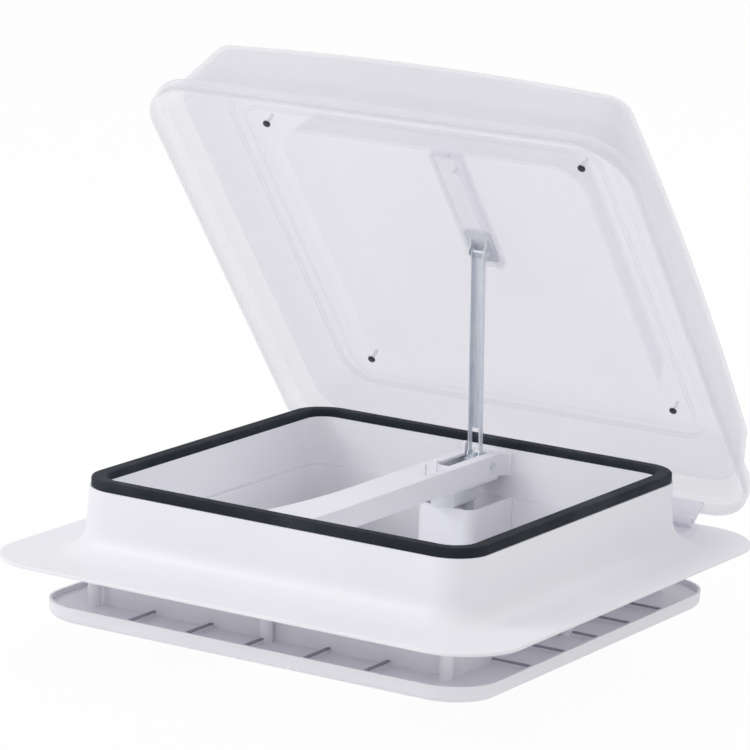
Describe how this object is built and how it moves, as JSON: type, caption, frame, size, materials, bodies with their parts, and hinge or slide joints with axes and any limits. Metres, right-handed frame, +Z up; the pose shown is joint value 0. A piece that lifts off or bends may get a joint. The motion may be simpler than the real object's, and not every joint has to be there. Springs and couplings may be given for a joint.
{
  "type": "caravan roof vent",
  "caption": "Square crank-lifted caravan roof vent: flanged roof frame with black seal, hinged double-skin lid on a worm-driven lifting arm, ceiling trim frame with flyscreen.",
  "frame": {"origin": "middle of the 400 mm square roof cut-out, on the roof's outer skin, which is the flange's underside", "axes": "+Z up out of the roof, +Y towards the hinged back of the lid, +X to the right seen from the front"},
  "size_m": [0.524, 0.5759, 0.5342],
  "materials": {
    "white_shell": "satin",
    "grey_plastic": "satin",
    "lid_skin": "gloss",
    "lid_lining": "gloss",
    "seal_rubber": "matt",
    "net": "matt",
    "nylon": "satin",
    "zinc_steel": "zinc plated",
    "dark_steel": "black",
    "aluminium": "mill"
  },
  "bodies": {
    "base": {"base_frame": "white_shell", "lid_seal": "seal_rubber", "crossbar": "white_shell", "arm_pivot_pin": "zinc_steel", "pivot_spacers": "nylon", "gear_housing": "grey_plastic", "shaft_bushes": "nylon", "base_hinge_leaf": "aluminium", "hinge_pin": "zinc_steel", "trim_frame": "white_shell", "crank_cup": "white_shell", "flyscreen_frame": "white_shell", "flyscreen_net": "net", "frame_screws": "zinc_steel", "crossbar_screws": "zinc_steel", "housing_screws": "zinc_steel", "cup_screws": "zinc_steel", "hinge_rivets": "aluminium"},
    "lid": {"lid_dome": "lid_skin", "lid_inner_skin": "lid_lining", "guide_rail": "nylon", "lid_hinge_leaf": "aluminium", "lid_hinge_screws": "zinc_steel", "lid_screws": "dark_steel", "rail_screws": "zinc_steel"},
    "arm": {"lift_arm": "zinc_steel", "arm_gear": "zinc_steel", "arm_rivets": "zinc_steel"},
    "shoe": {"guide_shoe": "nylon", "shoe_pin": "zinc_steel"},
    "crank": {"worm": "zinc_steel", "crank_shaft": "zinc_steel", "crank_handle": "white_shell", "knob_axle": "zinc_steel"},
    "knob": {"crank_knob": "grey_plastic"}
  },
  "joints": [
    {"name": "lid_hinge", "type": "hinge", "parent": "base", "child": "lid", "pos_m": [0, 0.2443, 0.012], "axis": [-1, 0, 0], "range_deg": [-50.6, 0]},
    {"name": "arm_pivot", "type": "hinge", "parent": "base", "child": "arm", "pos_m": [0, 0.1635, 0.052], "axis": [-1, 0, 0], "range_deg": [-75.2, 0.3]},
    {"name": "shoe_pivot", "type": "hinge", "parent": "arm", "child": "shoe", "pos_m": [0, 0.14928, 0.2545], "axis": [-1, 0, 0], "range_deg": [-0.3, 24.6]},
    {"name": "crank_turn", "type": "hinge", "parent": "base", "child": "crank", "pos_m": [0, 0.1491, 0], "axis": [0, 0, -1], "range_deg": [-1952, 2]},
    {"name": "knob_spin", "type": "hinge", "parent": "crank", "child": "knob", "pos_m": [0, 0.0991, -0.075], "axis": [0, 0, 1], "continuous": true}
  ],
  "couplings": [
    {"joint": "arm_pivot", "follows": "lid_hinge", "ratio": 1.479},
    {"joint": "shoe_pivot", "follows": "lid_hinge", "ratio": -0.479},
    {"joint": "crank_turn", "follows": "lid_hinge", "ratio": 38.454}
  ]
}
